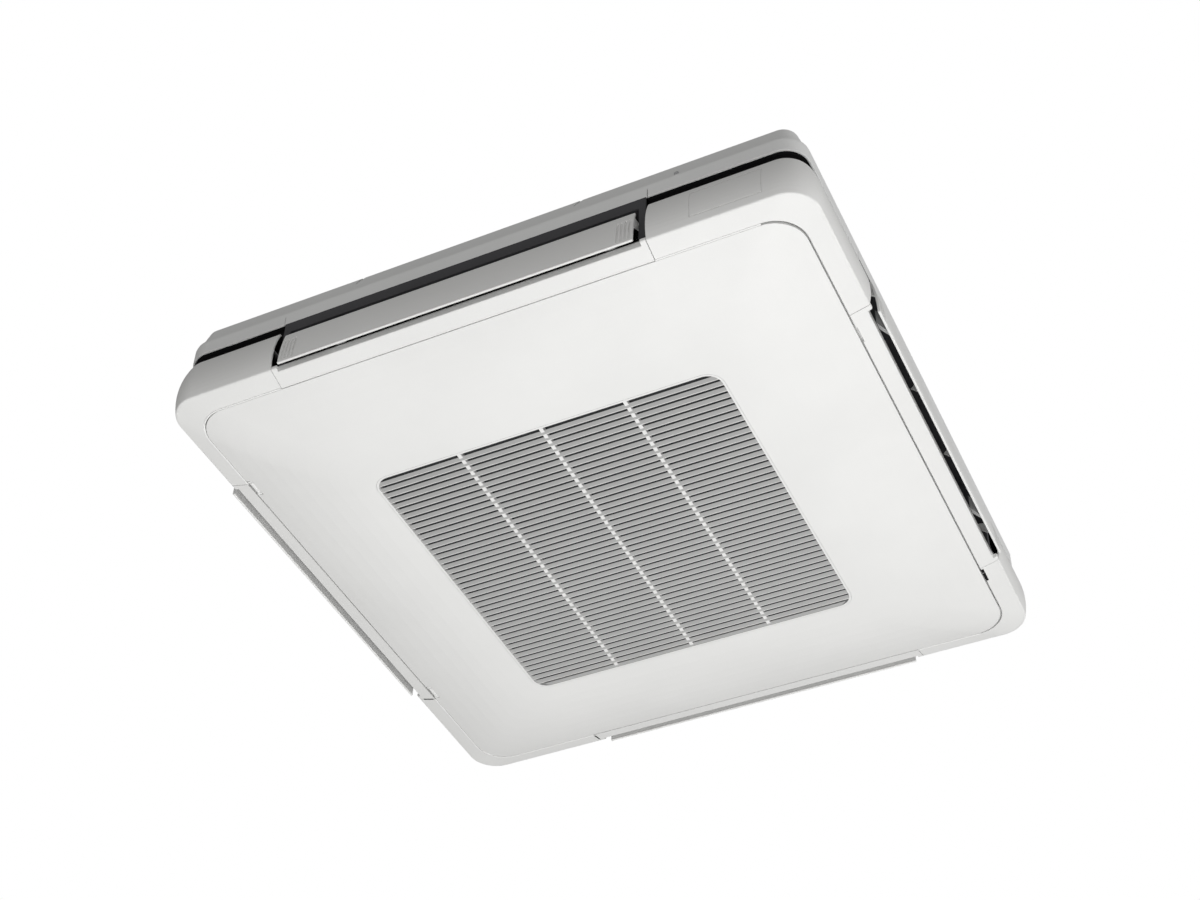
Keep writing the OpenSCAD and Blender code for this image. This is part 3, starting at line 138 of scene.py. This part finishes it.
def slats(name, color, rough, painted_shade_level):
    """Grille plastic with painted shade: slat faces that turn to the near side are painted darker,
    edges and spines stay white.
    """
    m = moulded(name, color, rough)
    parts = m.add("ShaderNodeSeparateXYZ")
    geometry = m.add("ShaderNodeNewGeometry")
    m.link(geometry, "True Normal", parts, "Vector")
    # Painted shade: the base colour is multiplied down on faces whose normal turns to the near
    # side.
    painted_shade_mask = m.to_range(parts, "Y", 1.0, 0.0, from_low=-0.7, from_high=-0.3)
    painted_shade = m.add("ShaderNodeMix", data_type="RGBA", blend_type="MULTIPLY")
    base = m.bsdf.inputs["Base Color"].links[0].from_node
    m.link(painted_shade_mask, "Result", painted_shade, "Factor")
    m.link(base, "Color", painted_shade, mix_a)
    painted_shade.inputs[mix_b].default_value = (painted_shade_level, painted_shade_level, painted_shade_level, 1.0)
    m.link(painted_shade, mix_result, m.bsdf, "Base Color")
    return m


def metal(name, color, rough, stretch, stained=False, metallic=1.0):
    """Bare or plated metal: cloudy colour, rolled grain in the gloss, and grain or small stains."""
    m = Mat(name)
    cloud = m.noise(cloud_scale, 5.0, 0.65)
    stops = [(noise_low, shade(color, 0.8)), (0.55, color), (0.8, shade(color, 1.15))]
    m.link(m.ramp(cloud, "Fac", stops), "Color", m.bsdf, "Base Color")
    grain = m.noise(rolled_scale, 4.0, 0.6, stretch)
    m.link(m.to_range(grain, "Fac", rough - 0.1, rough + 0.12), "Result", m.bsdf, "Roughness")
    bevel = m.add("ShaderNodeBevel", {"Radius": metal_edge}, samples=edge_rays)
    relief, socket = grain, "Fac"
    if stained:
        relief, socket = m.add("ShaderNodeTexVoronoi", {"Scale": stain_scale}), "Distance"
        m.link(m.coord, "Object", relief, "Vector")
    m.link(m.bump(relief, socket, 0.25, 0.00006, bevel), "Normal", m.bsdf, "Normal")
    m.set(Metallic=metallic)
    return m


def striped(name, color, painted_shade, pitch, axis, rough, metallic):
    """Thin fins that repeat along one axis, with painted shade in the bands between them."""
    m = Mat(name)
    values = {"Scale": wave_turn / pitch, "Distortion": 0.3, "Detail": 1.0}
    wave = m.add("ShaderNodeTexWave", values, bands_direction=axis)
    m.link(m.coord, "Object", wave, "Vector")
    # Painted shade: the bands between the fins take the darker colour.
    m.link(m.ramp(wave, "Fac", [(0.25, painted_shade), (0.6, color)]), "Color", m.bsdf, "Base Color")
    m.link(m.bump(wave, "Fac", 0.8, pitch * 0.4), "Normal", m.bsdf, "Normal")
    m.set(Roughness=rough, Metallic=metallic)
    return m


def woven(name, color, pitch, rough):
    """Filter gauze: two crossed sets of threads, with painted shade in the holes between them."""
    m = Mat(name)
    values = {"Scale": wave_turn / pitch, "Distortion": 0.0}
    waves = []
    for axis in ("X", "Y"):
        wave = m.add("ShaderNodeTexWave", values, bands_direction=axis)
        m.link(m.coord, "Object", wave, "Vector")
        waves.append(wave)
    threads = m.add("ShaderNodeMath", operation="MAXIMUM")
    for i, wave in enumerate(waves):
        m.link(wave, "Fac", threads, i)
    # Painted shade: the holes between the threads are near-black.
    stops = [(0.6, shade(color, 0.15)), (0.85, color)]
    m.link(m.ramp(threads, "Value", stops), "Color", m.bsdf, "Base Color")
    m.link(m.bump(threads, "Value", 0.9, 0.0004), "Normal", m.bsdf, "Normal")
    m.set(Roughness=rough)
    return m


def board(name, mask, track, rough):
    """Circuit board: solder mask with brighter tracks."""
    m = Mat(name)
    cells = m.add("ShaderNodeTexVoronoi", {"Scale": track_scale}, distance="MANHATTAN",
                  feature="DISTANCE_TO_EDGE")
    m.link(m.coord, "Object", cells, "Vector")
    m.link(m.ramp(cells, "Distance", [(0.03, track), (0.07, mask)]), "Color", m.bsdf, "Base Color")
    m.link(m.bump(cells, "Distance", 0.2, 0.0001), "Normal", m.bsdf, "Normal")
    m.set(Roughness=rough)
    return m


white = (0.86, 0.86, 0.85)
finishes = [
    moulded("white_plastic", white, rough=0.42),
    moulded("white_steel", (0.84, 0.845, 0.84), rough=0.45, grain=500.0, grain_depth=0.00005),
    moulded("liner_plastic", (0.055, 0.055, 0.06), rough=0.6, vary=0.08),
    moulded("recess_plastic", (0.008, 0.008, 0.009), rough=0.7, vary=0.1, specular=0.2),
    moulded("dark_plastic", (0.03, 0.03, 0.032), rough=0.5, vary=0.1),
    moulded("grey_plastic", (0.45, 0.46, 0.47), rough=0.45),
    moulded("bush_plastic", (0.7, 0.7, 0.66), rough=0.35),
    moulded("wheel_plastic", (0.6, 0.61, 0.6), rough=0.45, vary=0.06),
    moulded("flap_plastic", white, rough=0.42, grain_depth=0.000004, edge=0.0003),
    # Seam beads: white painted brighter than the plastic round them, a painted highlight along the
    # seam
    moulded("bead_painted_highlight", (0.93, 0.93, 0.92), rough=0.4, edge=0.0003),
    moulded("vane_plastic", (0.36, 0.36, 0.36), rough=0.5),
    moulded("pan_foam", (0.72, 0.72, 0.7), rough=0.8, grain=420.0, grain_depth=0.0003),
    moulded("foam", (0.04, 0.04, 0.042), rough=0.9, grain=300.0, grain_depth=0.0005),
    woven("filter_mesh", (0.05, 0.052, 0.055), pitch=0.0016, rough=0.75),
    board("board", mask=(0.03, 0.16, 0.08), track=(0.12, 0.35, 0.2), rough=0.35),
    metal("zinc_steel", (0.6, 0.61, 0.62), rough=0.42, stretch=(1.0, 1.0, 1.0), stained=True),
    metal("motor_metal", (0.35, 0.36, 0.37), rough=0.45, stretch=(1.0, 1.0, 0.1), metallic=0.7),
    # Fin pack: its darker colour is painted shade between the fins.
    striped("fin_aluminium", (0.72, 0.74, 0.75), painted_shade=(0.18, 0.19, 0.2), pitch=0.0018,
            axis="DIAGONAL", rough=0.4, metallic=0.85),
    metal("copper", (0.72, 0.36, 0.2), rough=0.32, stretch=(0.2, 0.2, 1.0)),
    metal("brass", (0.72, 0.55, 0.24), rough=0.3, stretch=(1.0, 1.0, 0.2)),
    moulded("rubber", (0.02, 0.02, 0.02), rough=0.75, grain=700.0, vary=0.15, specular=0.3),
]
materials = {finish.name: finish for finish in finishes}


def dress(node, finish):
    """Give a CAD node one finish."""
    mesh = frame["nodes"][node].data
    mesh.materials.clear()
    mesh.materials.append(finish.mat)


# Outward direction of each side, and the direction along it
sides = {"near": (0, -1, -1, 0), "right": (1, 0, 0, 1), "far": (0, 1, 1, 0), "left": (-1, 0, 0, -1)}
for part in frame["record"]["subparts"]:
    dress(part["node"], materials[part["material_slot"]])
for side in sides:
    dress("flap_" + side, materials["flap_plastic"])
# The grille's slat faces carry painted shade.
dress("intake_grille", slats("grille_plastic", white, rough=0.45, painted_shade_level=0.6))

# Pieces that only the scene has are given in millimetres
per_metre = 1000.0


def piece(name, points, faces, material, body):
    """A mesh piece from points in millimetres that moves with a body."""
    mesh = bpy.data.meshes.new(name)
    mesh.from_pydata([[value / per_metre for value in point] for point in points], [], faces)
    mesh.materials.append(materials[material].mat)
    obj = bpy.data.objects.new(name, mesh)
    bpy.context.scene.collection.objects.link(obj)
    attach(obj, body)


def block(name, low, high, material, body):
    """A plain block between two corners."""
    (x0, y0, z0), (x1, y1, z1) = low, high
    points = [(x, y, z) for z in (z0, z1) for y in (y0, y1) for x in (x0, x1)]
    faces = [(0, 2, 3, 1), (4, 5, 7, 6), (0, 1, 5, 4), (2, 6, 7, 3), (0, 4, 6, 2), (1, 3, 7, 5)]
    piece(name, points, faces, material, body)


def solid(name, rings, material, body):
    """A closed sweep through rings of points, with both ends capped."""
    n = len(rings[0])
    points = [point for ring in rings for point in ring]
    faces = [(i * n + j, i * n + (j + 1) % n, (i + 1) * n + (j + 1) % n, (i + 1) * n + j)
             for i in range(len(rings) - 1) for j in range(n)]
    faces += [tuple(reversed(range(n))), tuple(range(len(points) - n, len(points)))]
    piece(name, points, faces, material, body)


# Seam round the intake panel: the rim's inner edge, the panel's edge and the corner arcs
rim_in = 446.4
panel_edge = 444.0
seam_r = 47.0
arc_c = rim_in - seam_r
arc_steps = 12
# Beads on the rim: clearance to the panel, lower and upper level, and depth in the rim
bead_gap = 0.6
bead_low, bead_high = -139.2, -135.5
bead_root = 0.2
bead_w = rim_in - panel_edge - bead_gap
# The open intake panel's corners pass the left covers between these distances from the middle,
# so a bead stays higher there
pass_near, pass_far = 434.0, 444.0
pass_low = -137.2
# Joints between lips and covers, on the long and the short arm of a cover
joint_long, joint_short = 255.4, 300.4
# The near lip's own bead is thinner, lies higher and ends just before the joints
lip_bead_w = 1.3
lip_bead_low = -138.5
lip_bead_end = 1.0


def seam_line(side_x, side_y, end_x, end_y):
    """Places on the rim's inner edge: along x to a corner, round it, and along y to the end."""
    line = [(end_x, side_y * rim_in, 0.0, side_y)]
    for i in range(arc_steps + 1):
        angle = math.pi / 2 * (1 - i / arc_steps)
        dx, dy = side_x * math.cos(angle), side_y * math.sin(angle)
        line.append((side_x * arc_c + dx * seam_r, side_y * arc_c + dy * seam_r, dx, dy))
    line.append((side_x * rim_in, end_y, side_x, 0.0))
    return line


def straight_line(side_y, start_x, end_x):
    """Places on the rim's inner edge along the near or far side."""
    return [(x, side_y * rim_in, 0.0, side_y) for x in (start_x, end_x)]


def bead(name, line, width=bead_w, low=bead_low):
    """A raised bead that stands inwards from the rim's edge along a line of places."""
    rings = []
    for x, y, dx, dy in line:
        level = pass_low if pass_near < -x < pass_far else low
        section = [(-width, level), (bead_root, level), (bead_root, bead_high), (-width, bead_high)]
        rings.append([(x + dx * d, y + dy * d, z) for d, z in section])
    solid(name, rings, "bead_painted_highlight", "unit")


# Raised beads of the covers, round both left corners, and a thinner one along the near outlet;
# their brighter white is a painted highlight along the seam
bead("seam_bead_near_left", seam_line(-1, -1, -joint_short, -joint_short))
bead("seam_bead_far_left", seam_line(-1, 1, -joint_long, joint_long))
bead("seam_bead_near_right", straight_line(-1, joint_long, arc_c))
bead("seam_bead_far_right", straight_line(1, joint_short, arc_c))
bead("lip_bead_near", straight_line(-1, -joint_short + lip_bead_end, joint_long - lip_bead_end),
     lip_bead_w, lip_bead_low)

# Two fixed guide vanes in the mouth of each outlet: places outwards and along, from each start
vane_low, vane_high = -118.0, -94.0
vane_plan = [(468.4, 5.0), (468.4, 18.0), (477.6, 36.0), (477.6, 27.0)]
vane_starts = (-216.0, 182.0)
for side, (out_x, out_y, run_x, run_y) in sides.items():
    for number, start in enumerate(vane_starts, 1):
        plan = [(d * out_x + (start + t) * run_x, d * out_y + (start + t) * run_y)
                for d, t in vane_plan]
        # These two sides mirror the plan, so the order turns round to keep the faces outwards
        if side in ("near", "far"):
            plan.reverse()
        rings = [[(x, y, z) for x, y in plan] for z in (vane_low, vane_high)]
        solid("vane_%s_%d" % (side, number), rings, "vane_plastic", "unit")

# Painted shade: near-black strips of the rubber finish in two of the joints between a lip and a
# cover, for the shade of a wider gap; section outwards and upwards
joint_shade_at = 255.0
joint_shade_half = 1.0
joint_shade_section = [(449.5, -138.0), (467.0, -132.9), (467.0, -130.0), (449.5, -134.5)]
joint_shade_faces = (-joint_shade_half, joint_shade_half)
solid("joint_shade_left", [[(-d, joint_shade_at + t, z) for d, z in joint_shade_section] for t in joint_shade_faces],
      "rubber", "unit")
solid("joint_shade_far", [[(-joint_shade_at + t, d, z) for d, z in joint_shade_section] for t in joint_shade_faces],
      "rubber", "unit")

# Painted shade: near-black blocks in the seam's notch on the right side, for the shade inside the
# catch slots
slot_in, slot_out = 445.2, 449.4
slot_low, slot_high = -137.2, -136.4
for number, (start, end) in enumerate([(303.6, 312.0), (315.0, 330.6)], 1):
    block("catch_slot_shade_%d" % number, (slot_in, start, slot_low), (slot_out, end, slot_high),
          "recess_plastic", "unit")

# Camera at the photograph's viewpoint
camera_place = (0.95109, -1.98968, -2.08794)
camera_right = (0.9037, 0.4277, 0.0197)
camera_back = (0.3217, -0.6481, -0.6903)
camera = bpy.data.objects.new("camera", bpy.data.cameras.new("camera"))
bpy.context.scene.collection.objects.link(camera)
right = Vector(camera_right).normalized()
up = Vector(camera_back).cross(right).normalized()
back = right.cross(up)
turn = Matrix((right, up, back)).transposed().to_4x4()
camera.matrix_world = Matrix.Translation(camera_place) @ turn
camera.data.lens = 60.84
camera.data.sensor_width = 36.0
bpy.context.scene.camera = camera

# White surroundings: plain white to the camera, soft light that is a little stronger from the right
light_level = 0.335
light_slope = (0.03, 0.0, 0.0)
world = bpy.data.worlds.new("world")
bpy.context.scene.world = world
world.use_nodes = True
tree = world.node_tree
tree.nodes.clear()
out = tree.nodes.new("ShaderNodeOutputWorld")
seen = tree.nodes.new("ShaderNodeBackground")
seen.inputs["Color"].default_value = (1.0, 1.0, 1.0, 1.0)
seen.inputs["Strength"].default_value = 1.0
lit = tree.nodes.new("ShaderNodeBackground")
lit.inputs["Color"].default_value = (1.0, 0.995, 0.985, 1.0)
coord = tree.nodes.new("ShaderNodeTexCoord")
slope = tree.nodes.new("ShaderNodeVectorMath")
slope.operation = "DOT_PRODUCT"
slope.inputs[1].default_value = light_slope
level = tree.nodes.new("ShaderNodeMath")
level.operation = "ADD"
level.inputs[1].default_value = light_level
path = tree.nodes.new("ShaderNodeLightPath")
mix = tree.nodes.new("ShaderNodeMixShader")
tree.links.new(coord.outputs["Generated"], slope.inputs[0])
tree.links.new(slope.outputs["Value"], level.inputs[0])
tree.links.new(level.outputs["Value"], lit.inputs["Strength"])
tree.links.new(path.outputs["Is Camera Ray"], mix.inputs["Fac"])
tree.links.new(lit.outputs["Background"], mix.inputs[1])
tree.links.new(seen.outputs["Background"], mix.inputs[2])
tree.links.new(mix.outputs["Shader"], out.inputs["Surface"])

# Middle of the unit, where the lamps point
lamp_aim = Vector((0.0, 0.0, -0.1))


def area_light(name, place, size, power):
    """A round lamp that the camera doesn't see, aimed at the unit."""
    data = bpy.data.lights.new(name, "AREA")
    data.shape = "DISK"
    data.size = size
    data.energy = power
    lamp = bpy.data.objects.new(name, data)
    bpy.context.scene.collection.objects.link(lamp)
    lamp.location = place
    lamp.rotation_euler = (lamp_aim - Vector(place)).to_track_quat("-Z", "Y").to_euler()
    lamp.visible_camera = False


area_light("key", (0.8, -1.0, -2.65), size=2.6, power=42.0)
area_light("low", (0.2, 0.2, -2.7), size=2.6, power=22.0)
area_light("side", (3.0, 0.6, 0.25), size=1.6, power=22.0)

# Pale floor below the unit
reach = 9.0
floor_z = -5.0
corners = [(-reach, -reach), (reach, -reach), (reach, reach), (-reach, reach)]
floor_mesh = bpy.data.meshes.new("floor")
floor_mesh.from_pydata([(x, y, floor_z) for x, y in corners], [], [(0, 1, 2, 3)])
floor = bpy.data.objects.new("floor", floor_mesh)
bpy.context.scene.collection.objects.link(floor)
floor_paint = moulded("floor_paint", (0.82, 0.82, 0.81), rough=0.7, grain=60.0, grain_depth=0.0004,
                      edge=0.001)
floor_mesh.materials.append(floor_paint.mat)

bpy.context.scene.view_settings.view_transform = "Standard"
